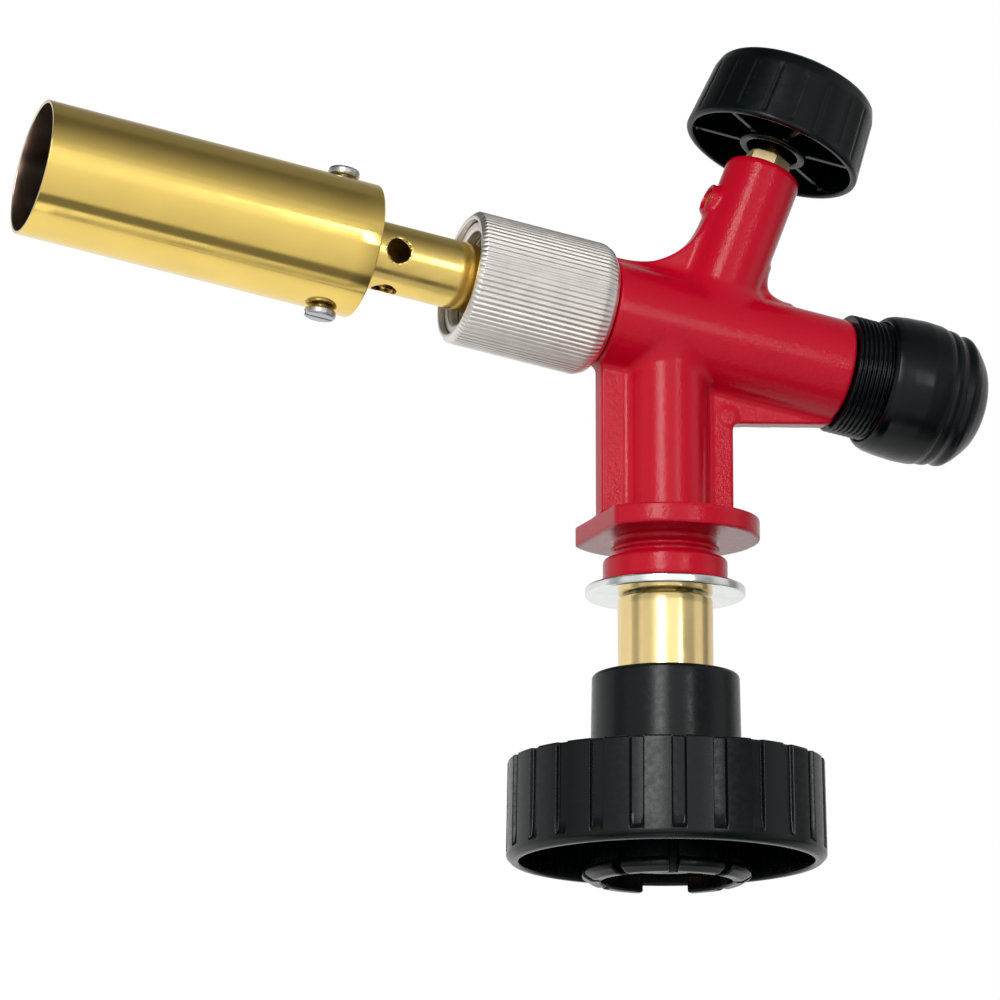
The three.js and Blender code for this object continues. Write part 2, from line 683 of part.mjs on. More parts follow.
function burnerHead() {
  const { radius, from, to, socketTo, port, edge, ring: pitchRadius } = HEAD;
  const outline = [
    [MIXING_TUBE.radius + GAP, from],
    [radius, from],
    [radius, to - edge],
    [radius - edge, to],
    [port, to],
    [port, socketTo],
    [MIXING_TUBE.radius + GAP, socketTo],
  ];
  const ports = [];
  for (let i = 0; i < HEAD.holes; i++) {
    const angle = (2 * Math.PI * (i + 0.5)) / HEAD.holes;
    const hole = rod(HEAD.hole, from - BITE, to + BITE, TINY);
    ports.push(hole.translate(pitchRadius * Math.cos(angle), pitchRadius * Math.sin(angle), 0));
  }
  const tapped = [0, Math.PI].map((angle) =>
    crossRod(SCREW.hole, HEAD.tapFrom, radius + BITE, SCREW.at, angle, TINY));
  return mesh('burner_head', cut(turned(outline, LARGE), ...ports, ...tapped), BRASS);
}

function flameTube() {
  const { radius, wall, from, to, edge } = FLAME_TUBE;
  const outline = [
    [radius - wall, from],
    [radius - edge, from],
    [radius, from + edge],
    [radius, to],
    [radius - wall, to],
  ];
  const holes = [0, Math.PI].map((angle) =>
    crossRod(SCREW.hole, radius - wall - BITE, radius + BITE, SCREW.at, angle, TINY));
  return mesh('flame_tube', cut(turned(outline, LARGE), ...holes), BRASS);
}

function burnerScrew(name, angle) {
  const { head, shank, length, edge } = SCREW;
  const seat = FLAME_TUBE.radius + GAP;
  const top = seat + SCREW.headHeight;
  const profile = [
    [0, top - length],
    [shank, top - length],
    [shank, seat],
    [head, seat],
    [head, top - edge],
    [head - edge, top],
    [0, top],
  ];
  const slot = block(SCREW_SLOT.width, 3 * head, 2 * SCREW_SLOT.depth, 0, 0, top);
  const matrix = new THREE.Matrix4().makeRotationZ(angle);
  matrix.multiply(new THREE.Matrix4().makeTranslation(0, 0, SCREW.at));
  matrix.multiply(new THREE.Matrix4().makeRotationY(Math.PI / 2));
  const screw = turned(profile, SMALL).subtract(slot).transform(matrix.elements);
  return mesh(name, screw, STEEL);
}

// ---------------------------------------------------------------- assembly
function barrelPieces() {
  return [
    regulatorBonnet(),
    adjusterCap(),
    springPlate(),
    regulatorSpring(),
    regulatorPiston(),
    oRing('piston_o_ring', PISTON.groove + GAP, PISTON.radius, PISTON.grooveAt, MEDIUM),
    pistonPad(),
    gasJet(),
    unionNut(),
    nutRing(),
    mixingTube(),
    tubeCollar(),
    burnerHead(),
    flameTube(),
    burnerScrew('burner_screw_upper', 0),
    burnerScrew('burner_screw_lower', Math.PI),
  ];
}

function valvePieces() {
  return [
    glandNut(),
    valveSpindle(),
    oRing('spindle_o_ring', SPINDLE.groove + GAP, SPINDLE_BORE.radius - GAP, SPINDLE.grooveAt, SMALL),
    portPlug(),
    controlKnob(),
  ];
}

function inletPieces() {
  return [
    bodyCasting(),
    inletStem(),
    oRing('stem_o_ring', STEM.radius + GAP, SEAL_POCKET.radius - GAP, STEM_RING_MIDDLE, MEDIUM),
    cartridgeSeal(),
    depressorPin(),
    inletFilter(),
    couplingSleeve(),
    threadedRing(),
    thrustWasher(),
    handwheel(),
    snapRing(),
  ];
}

const torch = new THREE.Group();
barrelFrame.add(...barrelPieces());
valveFrame.add(...valvePieces());
torch.add(...inletPieces(), barrelFrame, valveFrame);

export default torch;
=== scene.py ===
"""Looks of a hand-held gas torch head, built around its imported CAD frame.

Lengths in the modelling code are millimetres in the frame of one of three axes, which come
from the record's joints: the inlet (world Z), the barrel (towards the flame) and the valve
(towards the knob). Objects are placed in metres.
"""

import json
import math

import bmesh
import bpy
import numpy as np
from mathutils import Matrix, Vector


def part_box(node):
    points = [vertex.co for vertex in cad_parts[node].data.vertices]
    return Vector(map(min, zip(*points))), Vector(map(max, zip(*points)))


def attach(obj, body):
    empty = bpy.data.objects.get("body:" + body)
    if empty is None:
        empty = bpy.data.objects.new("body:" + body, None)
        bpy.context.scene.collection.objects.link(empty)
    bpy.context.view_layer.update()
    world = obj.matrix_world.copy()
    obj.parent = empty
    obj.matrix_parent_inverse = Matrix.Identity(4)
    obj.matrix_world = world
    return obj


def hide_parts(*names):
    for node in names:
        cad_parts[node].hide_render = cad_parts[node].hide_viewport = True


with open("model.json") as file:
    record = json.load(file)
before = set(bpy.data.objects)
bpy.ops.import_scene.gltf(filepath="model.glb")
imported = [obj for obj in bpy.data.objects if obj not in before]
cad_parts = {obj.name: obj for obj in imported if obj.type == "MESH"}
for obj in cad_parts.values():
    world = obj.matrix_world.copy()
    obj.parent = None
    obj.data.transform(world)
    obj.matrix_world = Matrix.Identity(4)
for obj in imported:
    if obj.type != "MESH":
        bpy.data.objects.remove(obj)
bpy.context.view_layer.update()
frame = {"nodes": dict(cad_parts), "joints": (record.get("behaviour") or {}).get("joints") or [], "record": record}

MM = 0.001
TURN = 2 * math.pi
DEG = math.pi / 180


# ------------------------------------------------------------------ places
def place_of(joint):
    """The frame of a joint: Z along its axis, Y along the world's Y."""
    facts = next(j for j in frame["joints"] if j["name"] == joint)
    axis = Vector(facts["axis"]).normalized()
    side = Vector((0, 1, 0))
    place = Matrix((side.cross(axis), side, axis)).transposed().to_4x4()
    place.translation = Vector(facts["pos_m"])
    return place


INLET = Matrix.Identity(4)
BARREL = place_of("burner_swivel")
VALVE = place_of("knob_turn")


def span(node, place=INLET):
    """Lowest and highest point of a CAD node along a place's axis, and its radius, in mm."""
    mesh = frame["nodes"][node].data
    points = np.zeros(len(mesh.vertices) * 3)
    mesh.vertices.foreach_get("co", points)
    turn = np.array(place.to_3x3())
    local = (points.reshape(-1, 3) - np.array(place.translation)) @ turn / MM
    return local[:, 2].min(), local[:, 2].max(), np.hypot(local[:, 0], local[:, 1]).max()


def seen_from(place, x, y, z):
    """World millimetres as millimetres in a place of the plane Y = 0."""
    up, along, at = place.col[0], place.col[2], place.translation / MM
    dx, dz = x - at.x, z - at.z
    return dx * up.x + dz * up.z, y, dx * along.x + dz * along.z


# ------------------------------------------------------------------ outlines
def path(*corners, closed=True, step=15):
    """Outline points from (across, along, fillet) corners, each fillet drawn as an arc."""
    count = len(corners)
    at = [np.array(c[:2], float) for c in corners]
    fillets = [c[2] if len(c) > 2 else 0 for c in corners]
    points = []
    for i in range(count):
        here = at[i]
        if fillets[i] <= 0 or (not closed and i in (0, count - 1)):
            points.append(here)
            continue
        before, after = at[i - 1] - here, at[(i + 1) % count] - here
        long_before, long_after = np.hypot(*before), np.hypot(*after)
        before, after = before / long_before, after / long_after
        opening = math.acos(np.clip(before @ after, -1, 1))
        if opening > math.pi - 0.01:
            points.append(here)
            continue
        tangent = min(fillets[i] / math.tan(opening / 2), 0.49 * long_before, 0.49 * long_after)
        radius = tangent * math.tan(opening / 2)
        middle = before + after
        centre = here + middle / np.hypot(*middle) * radius / math.sin(opening / 2)
        first, last = here + before * tangent - centre, here + after * tangent - centre
        start = math.atan2(first[1], first[0])
        sweep = (math.atan2(last[1], last[0]) - start + math.pi) % TURN - math.pi
        facets = max(2, math.ceil(abs(sweep) / (step * DEG)))
        for k in range(facets + 1):
            angle = start + sweep * k / facets
            points.append(centre + radius * np.array([math.cos(angle), math.sin(angle)]))
    return np.array(points)


def even_rows(points, longest, closed=True):
    """The outline with its long runs cut into steps no longer than the given length."""
    rows = []
    count = len(points)
    for i in range(count if closed else count - 1):
        a, b = points[i], points[(i + 1) % count]
        pieces = max(1, math.ceil(np.hypot(*(b - a)) / longest))
        rows += [a + (b - a) * k / pieces for k in range(pieces)]
    if not closed:
        rows.append(points[-1])
    return np.array(rows)


def revolve(profile, sides=128, swell=None, closed=True):
    """A turned skin from an outline; swell(radius, height, angle) moves its points outwards."""
    angles = np.arange(sides) * TURN / sides if isinstance(sides, int) else np.asarray(sides)
    radius, height = profile[:, :1], profile[:, 1:]
    wide = radius + (swell(radius, height, angles[None]) if swell else np.zeros((1, len(angles))))
    points = np.stack(
        [wide * np.cos(angles), wide * np.sin(angles), np.broadcast_to(height, wide.shape)], -1
    )
    rows, columns = wide.shape
    index = np.arange(rows * columns).reshape(rows, columns)
    lower = index if closed else index[:-1]
    upper = np.roll(index, -1, 0) if closed else index[1:]
    quads = np.stack([lower, np.roll(lower, -1, 1), np.roll(upper, -1, 1), upper], -1)
    return points.reshape(-1, 3), quads.reshape(-1, 4)


# ------------------------------------------------------------------ sculpted solids
def rounded(a, b, edge):
    """Distance to the solid that is inside both distances, with its edge rounded outwards."""
    a, b = a + edge, b + edge
    return np.minimum(np.maximum(a, b), 0) + np.hypot(np.maximum(a, 0), np.maximum(b, 0)) - edge


def round_bar(x, y, z, radius, low, high, edge=0.3):
    return rounded(np.hypot(x, y) - radius, np.abs(z - (low + high) / 2) - (high - low) / 2, edge)


def union(a, b, fillet):
    meet = np.hypot(np.maximum(fillet - a, 0), np.maximum(fillet - b, 0))
    return np.maximum(fillet, np.minimum(a, b)) - meet


def common(a, b, edge):
    meet = np.hypot(np.maximum(edge + a, 0), np.maximum(edge + b, 0))
    return np.minimum(-edge, np.maximum(a, b)) + meet


def without(a, b, edge=0.2):
    return common(a, -b, edge)


def inside_outline(x, y, corners):
    """Distance to the edge of a closed outline, negative inside."""
    nearest, within = None, False
    for a, b in zip(corners, np.roll(corners, -1, 0)):
        along, across = b - a
        dx, dy = x - a[0], y - a[1]
        share = np.clip((dx * along + dy * across) / (along**2 + across**2), 0, 1)
        reach = (dx - along * share) ** 2 + (dy - across * share) ** 2
        nearest = reach if nearest is None else np.minimum(nearest, reach)
        above, below, left = y >= a[1], y < b[1], along * dy > across * dx
        within = within ^ ((above & below & left) | (~above & ~below & ~left))
    return np.sqrt(nearest) * np.where(within, -1, 1)


def sculpt(field, low, high, step):
    """The skin of a distance field between two corners, as points and quads."""
    axes = [np.arange(a - 2 * step, b + 3 * step, step) for a, b in zip(low, high)]
    grid = field(axes[0][:, None, None], axes[1][None, :, None], axes[2][None, None, :])
    grid = np.asarray(np.broadcast_to(grid, [len(a) for a in axes]), np.float32)
    solid = grid < 0
    shape = np.array(grid.shape)
    cells, crossings, flips = [], [], []
    for axis in range(3):
        near = [slice(0, -1) if k == axis else slice(1, -1) for k in range(3)]
        far = [slice(1, None) if k == axis else slice(1, -1) for k in range(3)]
        turned = solid[tuple(near)] != solid[tuple(far)]
        start = np.argwhere(turned) + [0 if k == axis else 1 for k in range(3)]
        end = start + [int(k == axis) for k in range(3)]
        a, b = grid[tuple(start.T)], grid[tuple(end.T)]
        point = np.stack([axes[k][start[:, k]] for k in range(3)], -1)
        point[:, axis] += step * a / (a - b)
        one, two = (axis + 1) % 3, (axis + 2) % 3
        ring = []
        for shift in ((0, 0), (-1, 0), (-1, -1), (0, -1)):
            cell = start.copy()
            cell[:, one] += shift[0]
            cell[:, two] += shift[1]
            ring.append(np.ravel_multi_index(cell.T, shape))
        cells.append(np.stack(ring, -1))
        crossings.append(point)
        flips.append(a > 0)
    cells, crossings, flips = (np.concatenate(found) for found in (cells, crossings, flips))
    names, quads = np.unique(cells, return_inverse=True)
    quads = quads.reshape(cells.shape)
    hits = np.bincount(quads.ravel())
    spread = np.repeat(crossings, 4, 0)
    points = np.stack([np.bincount(quads.ravel(), spread[:, k]) / hits for k in range(3)], -1)
    quads[flips] = quads[flips][:, ::-1]
    return settle(field, points, step), quads


def settle(field, points, step, rounds=3):
    """Moves points onto the field's surface along its slope."""
    reach = 0.2 * step
    for _ in range(rounds):
        x, y, z = points.T
        value = field(x, y, z)
        slope = np.stack([
            field(x + reach, y, z) - field(x - reach, y, z),
            field(x, y + reach, z) - field(x, y - reach, z),
            field(x, y, z + reach) - field(x, y, z - reach),
        ], -1) / (2 * reach)
        steep = np.maximum((slope**2).sum(-1), 0.2)
        points = points - slope * np.clip(value / steep, -step, step)[:, None]
    return points


# ------------------------------------------------------------------ finishes
class Finish:
    """A procedural material: varied colour and roughness, grain as bump, and worn edges."""

    def __init__(self, name, color, metallic=0.0, vary=0.06, blotch=120, rough=(0.3, 0.4),
                 smear=300, grain=(), wear=None, inner_tone=None, **constants):
        self.material = bpy.data.materials.new(name)
        self.material.use_nodes = True
        self.tree = self.material.node_tree
        self.shader = self.tree.nodes["Principled BSDF"]
        self.shader.inputs["Metallic"].default_value = metallic
        for key, value in constants.items():
            self.shader.inputs[key.replace("_", " ")].default_value = value
        self.place = self.tree.nodes.new("ShaderNodeTexCoord").outputs["Object"]
        tint = self.ramp(self.noise(blotch), (0.3, [c * (1 - vary) for c in color]),
                         (0.7, [c * (1 + vary) for c in color]))
        if wear:
            tint = self.worn(tint, *wear)
        if inner_tone:
            tint = self.toned_inside(tint, *inner_tone)
        self.link(tint, self.shader.inputs["Base Color"])
        self.link(self.fitted(self.noise(smear, detail=6), *rough), self.shader.inputs["Roughness"])
        bump = None
        for scale, depth, stretch in grain:
            bump = self.bumped(self.noise(scale, stretch=stretch), depth, bump)
        if bump:
            self.link(bump, self.shader.inputs["Normal"])

    def link(self, out, into):
        self.tree.links.new(out, into)

    def noise(self, scale, detail=3.0, stretch=(1, 1, 1)):
        mapping = self.tree.nodes.new("ShaderNodeMapping")
        mapping.inputs["Scale"].default_value = stretch
        texture = self.tree.nodes.new("ShaderNodeTexNoise")
        texture.inputs["Scale"].default_value = scale
        texture.inputs["Detail"].default_value = detail
        self.link(self.place, mapping.inputs["Vector"])
        self.link(mapping.outputs["Vector"], texture.inputs["Vector"])
        return texture.outputs["Fac"]

    def ramp(self, factor, *stops):
        node = self.tree.nodes.new("ShaderNodeValToRGB")
        for element, (at, color) in zip(node.color_ramp.elements, stops):
            element.position = at
            element.color = (*[min(1, c) for c in color], 1)
        self.link(factor, node.inputs["Fac"])
        return node.outputs["Color"]

    def fitted(self, factor, low, high):
        node = self.tree.nodes.new("ShaderNodeMapRange")
        node.inputs["From Min"].default_value = 0.35
        node.inputs["From Max"].default_value = 0.65
        node.inputs["To Min"].default_value = low
        node.inputs["To Max"].default_value = high
        self.link(factor, node.inputs["Value"])
        return node.outputs["Result"]

    def worn(self, tint, color, low, high):
        """Mixes in another colour where the mesh's edges stick out."""
        edge = self.tree.nodes.new("ShaderNodeNewGeometry").outputs["Pointiness"]
        amount = self.tree.nodes.new("ShaderNodeMapRange")
        amount.inputs["From Min"].default_value = low
        amount.inputs["From Max"].default_value = high
        self.link(edge, amount.inputs["Value"])
        return self.mixed(tint, color, amount.outputs["Result"])

    def mixed(self, tint, color, amount):
        mix = self.tree.nodes.new("ShaderNodeMix")
        mix.data_type = "RGBA"
        mix.inputs[7].default_value = (*color, 1)
        self.link(amount, mix.inputs[0])
        self.link(tint, mix.inputs[6])
        return mix.outputs[2]

    def toned_inside(self, tint, color, radius):
        # Paler, greyer metal on the tube's inner wall, to tone down the orange of light bouncing inside it.
        """Another colour nearer to the piece's own Z axis than the given radius in mm."""
        flat = self.tree.nodes.new("ShaderNodeVectorMath")
        flat.operation = "MULTIPLY"
        flat.inputs[1].default_value = (1, 1, 0)
        self.link(self.place, flat.inputs[0])
        length = self.tree.nodes.new("ShaderNodeVectorMath")
        length.operation = "LENGTH"
        self.link(flat.outputs["Vector"], length.inputs[0])
        near = self.tree.nodes.new("ShaderNodeMapRange")
        near.inputs["From Min"].default_value = (radius + 0.06) * MM
        near.inputs["From Max"].default_value = (radius - 0.06) * MM
        self.link(length.outputs["Value"], near.inputs["Value"])
        return self.mixed(tint, color, near.outputs["Result"])

    def bumped(self, height, depth, before):
        node = self.tree.nodes.new("ShaderNodeBump")
        node.inputs["Strength"].default_value = 1
        node.inputs["Distance"].default_value = depth * MM
        self.link(height, node.inputs["Height"])
        if before:
            self.link(before, node.inputs["Normal"])
        return node.outputs["Normal"]


EVEN = (1, 1, 1)
RINGS = (0.05, 0.05, 1)  # long round the axis, short along it
STREAKS = (1, 1, 0.04)  # long along the axis

FINISHES = {
    "red_paint": Finish(
        "red_enamel", (0.62, 0.0028, 0.023), vary=0.04, blotch=90, rough=(0.08, 0.17), smear=1100,
        grain=[(1300, 0.045, EVEN), (3100, 0.035, EVEN)], Specular_IOR_Level=0.24),
    "brass": Finish(
        "turned_brass", (0.88, 0.64, 0.19), metallic=1, vary=0.05, blotch=150, rough=(0.16, 0.26),
        smear=260, grain=[(4200, 0.003, RINGS), (900, 0.002, EVEN)]),
    "polished_brass": Finish(
        "polished_brass", (0.92, 0.69, 0.26), metallic=1, vary=0.04, blotch=90, rough=(0.1, 0.17),
        smear=160, grain=[(2600, 0.002, RINGS), (500, 0.0015, STREAKS)]),
    "pale_brass": Finish(
        "pale_brass", (0.93, 0.71, 0.33), metallic=1, vary=0.05, blotch=120, rough=(0.12, 0.2),
        smear=260, grain=[(4200, 0.002, RINGS), (900, 0.002, EVEN)]),
    # Matte brass for the gland nut. Its colour is paler and brighter than the other brass: painted light for a nut
    # that sits in the knob's shade.
    "matte_brass_painted_light": Finish(
        "matte_brass_painted_light", (0.96, 0.78, 0.42), metallic=1, vary=0.05, blotch=300, rough=(0.42, 0.55),
        smear=300, grain=[(1500, 0.01, EVEN)]),
    # The flame tube. Inside its inner radius the metal is paler and greyer, which tones down the orange of light
    # bouncing inside the tube.
    "flame_tube_brass": Finish(
        "flame_tube_brass", (0.9, 0.65, 0.175), metallic=1, vary=0.04, blotch=90, rough=(0.09, 0.15),
        smear=160, grain=[(2600, 0.002, RINGS), (500, 0.002, STREAKS)],
        inner_tone=((0.86, 0.75, 0.68), 12.15)),
    "nickel": Finish(
        "satin_nickel", (0.86, 0.825, 0.77), metallic=1, vary=0.06, blotch=300, rough=(0.32, 0.46),
        smear=600, grain=[(1800, 0.003, EVEN)]),
    "plated_steel": Finish(
        "bright_zinc", (0.80, 0.82, 0.80), metallic=1, vary=0.05, blotch=200, rough=(0.1, 0.2),
        smear=350, grain=[(1200, 0.002, EVEN)]),
    "steel": Finish(
        "plain_steel", (0.5, 0.51, 0.52), metallic=1, vary=0.06, blotch=200, rough=(0.28, 0.4),
        smear=500, grain=[(2500, 0.003, EVEN)]),
    "black_plastic": Finish(
        "black_plastic", (0.0016, 0.0038, 0.0046), vary=0.15, blotch=150, rough=(0.2, 0.3),
        smear=400, grain=[(1500, 0.004, EVEN)], wear=((0.006, 0.008, 0.009), 0.54, 0.64),
        Specular_IOR_Level=0.22),
    "wheel_plastic": Finish(
        "eroded_plastic", (0.0017, 0.004, 0.0048), vary=0.2, blotch=220, rough=(0.2, 0.3), smear=900,
        grain=[(1400, 0.005, EVEN), (3000, 0.003, EVEN)], wear=((0.007, 0.009, 0.01), 0.54, 0.64),
        Specular_IOR_Level=0.26),
    "cap_plastic": Finish(
        "glossy_plastic", (0.0016, 0.004, 0.0046), vary=0.15, blotch=150, rough=(0.2, 0.28),
        smear=350, grain=[(500, 0.005, EVEN), (1800, 0.002, EVEN)], Specular_IOR_Level=0.22),
    "rubber": Finish(
        "nitrile_rubber", (0.012, 0.012, 0.012), vary=0.2, blotch=300, rough=(0.6, 0.8),
        grain=[(1500, 0.01, EVEN)]),
    "sinter": Finish(
        "sintered_bronze", (0.36, 0.22, 0.09), metallic=0.8, vary=0.3, blotch=2500, rough=(0.5, 0.8),
        grain=[(2500, 0.08, EVEN)]),
}
# The gland nut's finish is the paler brass, painted light for its place in the knob's shade.
NODE_FINISH = {
    "flame_tube": "flame_tube_brass", "coupling_sleeve": "pale_brass", "gland_nut": "matte_brass_painted_light",
    "burner_screw_upper": "steel", "burner_screw_lower": "steel"}
NODE_SLOT = {s["node"]: s["material_slot"] for s in frame["record"]["subparts"]}
NODE_BODY = {
    node: body for body, nodes in frame["record"]["behaviour"]["bodies"].items() for node in nodes}


# ------------------------------------------------------------------ pieces
def piece(node, skin, place=INLET, sharp=34):
    """Makes a detailed piece that stands for one CAD node."""
    points, faces = skin
    mesh = bpy.data.meshes.new(node + "_fine")
    mesh.from_pydata((np.asarray(points) * MM).tolist(), [], np.asarray(faces).tolist())
    work = bmesh.new()
    work.from_mesh(mesh)
    bmesh.ops.remove_doubles(work, verts=work.verts, dist=1e-6)
    bmesh.ops.recalc_face_normals(work, faces=work.faces)
    work.to_mesh(mesh)
    work.free()
    mesh.shade_smooth()
    mesh.set_sharp_from_angle(angle=sharp * DEG)
    made = bpy.data.objects.new(node + "_fine", mesh)
    bpy.context.scene.collection.objects.link(made)
    made.matrix_world = place
    mesh.materials.append(FINISHES[NODE_FINISH.get(node, NODE_SLOT[node])].material)
    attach(made, NODE_BODY[node])
    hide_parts(node)
    return made


# Casting: the column stands on the inlet axis, and the barrel and the branch have their own.
def web_outline():
    return path(
        (-13, 53.4), (-13, 94), (0, 92.5), (32.4, 87, 0), (32.4, 76.3, 0.8), (13, 75, 1.4),
        (13, 53.4))


def gusset_outline(radius, side):
    """The corner between barrel and branch, filled up to a round that is tangent to both.

    Gives the round's centre and the outline, as (along the barrel, above its axis).
    """
    corner = VALVE_FOOT + side * BRANCH_RADIUS / math.cos(LEAN) - BARREL_RADIUS * math.tan(LEAN)
    opening = math.pi / 2 + side * LEAN
    tangent = radius / math.tan(opening / 2)
    centre = np.array([corner + side * tangent, BARREL_RADIUS + radius])
    on_barrel = np.array([centre[0], BARREL_RADIUS])
    branch_side = np.array([side * math.cos(LEAN), math.sin(LEAN) * side])
    on_branch = centre - branch_side * radius
    deep = 2.5
    outline = np.array([
        on_barrel - [0, deep], on_barrel, centre, on_branch, on_branch - branch_side * deep,
        [VALVE_FOOT, BARREL_RADIUS - deep],
    ])
    return centre, outline


VALVE_FOOT = -7.4  # where the valve axis meets the barrel axis
LEAN = math.acos(min(1, BARREL.col[0].to_3d() @ VALVE.col[2].to_3d()))  # branch off square
BARREL_RADIUS = 10
BRANCH_RADIUS = 7.25
BARREL_REAR = -35
BARREL_FRONT = 12.4
WEB = web_outline()
# Round's radius, side, half thickness and rounding: the flame side's gusset and the rear one.
GUSSETS = [
    (gusset_outline(radius, side), radius, half, edge)
    for radius, side, half, edge in ((18, 1, 2, 0.35), (5, -1, 2.4, 2.2))]


def casting(x, y, z):
    bx, by, bz = seen_from(BARREL, x, y, z)
    vx, vy, vz = seen_from(VALVE, x, y, z)
    deep = np.abs(y)
    form = round_bar(x, y, z, 8, 52, 95, 0.5)
    form = union(form, rounded(inside_outline(x, z, WEB), deep - 2, 0.4), 1.3)
    disc = np.hypot(x - 12, z - 76.2) - 1.88
    form = union(form, rounded(disc, deep - 2.22, 0.12), 0.15)
    barrel = round_bar(bx, by, bz, BARREL_RADIUS, BARREL_REAR, BARREL_FRONT, 0.45)
    barrel = union(barrel, round_bar(bx, by, bz, 9, BARREL_FRONT - 1, 26, 0.4), 0.2)
    branch = round_bar(vx, vy, vz, BRANCH_RADIUS, 0, 35.6, 1.4)
    branch = union(branch, round_bar(vy, vz - 25.7, -vx, 2.95, 1, 8.7, 0.5), 0.7)
    gussets = None
    for (centre, outline), radius, half, edge in GUSSETS:
        fill = inside_outline(bz, bx, outline)
        fill = np.maximum(fill, radius - np.hypot(bz - centre[0], bx - centre[1]))
        fill = rounded(fill, deep - half, edge)
        gussets = fill if gussets is None else np.minimum(gussets, fill)
    branch = union(branch, gussets, 1.8)
    barrel = union(barrel, branch, 2.2)
    form = union(form, barrel, 1.4)
    flange = round_bar(x, y, z, 17.55, 52.1, 55.9, 0.4)
    flange = common(flange, -(x + 13.8), 0.4)
    neck = round_bar(x, y, z, 9.5, 47, 53.5, 0.3)
    neck = union(neck, round_bar(x, y, z, 10.1, 49.7, 50.6, 0.3), 0.4)
    neck = union(neck, round_bar(x, y, z, 11.55, 43.6, 48.5, 0.9), 0.5)
    form = union(form, union(flange, neck, 0.6), 0.9)
    form = without(form, round_bar(x, y, z, 6.7, 38, 45.6, 0.1))
    form = without(form, round_bar(x, y, z, 5.3, 40, 54.8, 0.1))
    form = without(form, round_bar(x, y, z, 2.2, 50, 87, 0.1))
    form = without(form, round_bar(bx, by, bz, 7.5, -45, -19.6, 0.1))
    form = without(form, round_bar(bx, by, bz, 5.6, 20.4, 33, 0.1))
    form = without(form, round_bar(bx, by, bz, 3.2, 13.5, 33, 0.1))
    form = without(form, round_bar(vx, vy, vz, 4, 28, 45, 0.1))
    form = without(form, round_bar(vx, vy, vz, 2.6, 7, 45, 0.1))
    return without(form, round_bar(vy, vz - 25.7, -vx, 2.2, 4.8, 15, 0.1), 0.3)


def make_casting():
    low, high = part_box("body_casting")
    step = 0.4
    return piece("body_casting", sculpt(casting, low / MM, high / MM, step), sharp=50)


def make_port_plug():
    """A slotted plug across the valve axis, modelled along its own X."""
    def plug(x, y, z):
        form = round_bar(y, z - 25.7, -x, 1.9, 5.4, 8.2, 0.25)
        slot = np.maximum(np.abs(y) - 0.4, 7.5 + x)
        return without(form, slot, 0.1)

    return piece("port_plug", sculpt(plug, (-8.3, -2, 23.7), (-5.3, 2, 27.7), 0.12), VALVE)


def make_stem():
    _, high, reach = span("inlet_stem")
    profile = path(
        (3, 0, 0.2), (3.55, 0, 0.1), (3.55, 1.2), (5.25, 1.2), (5.25, 0, 0.1), (reach, 0, 0.3),
        (reach, 3.2, 0.3), (5, 3.2), (5, high, 0.4), (1.6, high, 0.2), (1.6, 7), (3, 7))
    return piece("inlet_stem", revolve(profile, 96))


def make_sleeve():
    low, high, radius = span("coupling_sleeve")
    profile = path(
        (7.9, low, 0.2), (radius, low, 0.4), (radius, high, 0.7), (5.3, high, 0.3), (5.3, 3.6, 0.1),
        (7.9, 3.6))
    return piece("coupling_sleeve", revolve(profile, 160))


CARTRIDGE_PITCH = 0.907  # 28 to the inch
BONNET_PITCH = 0.95


def threaded(crest, low, high, pitch, depth, inward):
    """A helical thread: how far a point is moved from the crest, by its radius, height and angle."""
    def cut(radius, height, angle):
        phase = (height / pitch - angle / TURN) % 1
        valley = np.clip((0.5 - np.abs(phase - 0.5)) * 4 - 0.5, 0, 1)
        fade = np.clip((height - low) / pitch, 0, 1) * np.clip((high - height) / pitch, 0, 1)
        near = np.abs(radius - crest) < 0.02
        return np.where(near, valley * fade * depth * (1 if inward else -1), 0)
    return cut


def make_threaded_ring():
    low, high, outer = span("threaded_ring")
    inner = 5.4
    profile = path(
        (inner, low), (inner + 0.4, low), (outer, low, 0.3), (outer, high, 0.3), (inner, high))
    profile = even_rows(profile, CARTRIDGE_PITCH / 8)
    cut = threaded(inner, low + 0.3, high - 0.3, CARTRIDGE_PITCH, 0.5, True)
    return piece("threaded_ring", revolve(profile, 96, cut), sharp=40)


def make_washer():
    low, high, radius = span("thrust_washer")
    profile = path((5.4, low, 0.15), (radius, low, 0.45), (radius, high, 0.45), (5.4, high, 0.15))
    return piece("thrust_washer", revolve(profile, 192))


# Handwheel
GROOVES = 24
GROOVE_AT = -1.2  # in degrees, as are the half width and the width of each sloping side
GROOVE_HALF = 2.75
GROOVE_SLOPE = 0.7
GROOVE_DEPTH = 0.75


def wheel_angles():
    """Angles of the wheel's columns of points, closer together on the sides of the grooves."""
    pitch = 360 / GROOVES
    slope = [-GROOVE_HALF + GROOVE_SLOPE * k / 6 for k in range(7)]
    pad = [GROOVE_HALF + 0.15, 5, 7.5, 10, pitch - GROOVE_HALF - 0.15]
    offsets = slope + [-1.2, 0, 1.2] + [-at for at in reversed(slope)] + pad
    return np.array([(GROOVE_AT + pitch * k + at) * DEG for k in range(GROOVES) for at in offsets])


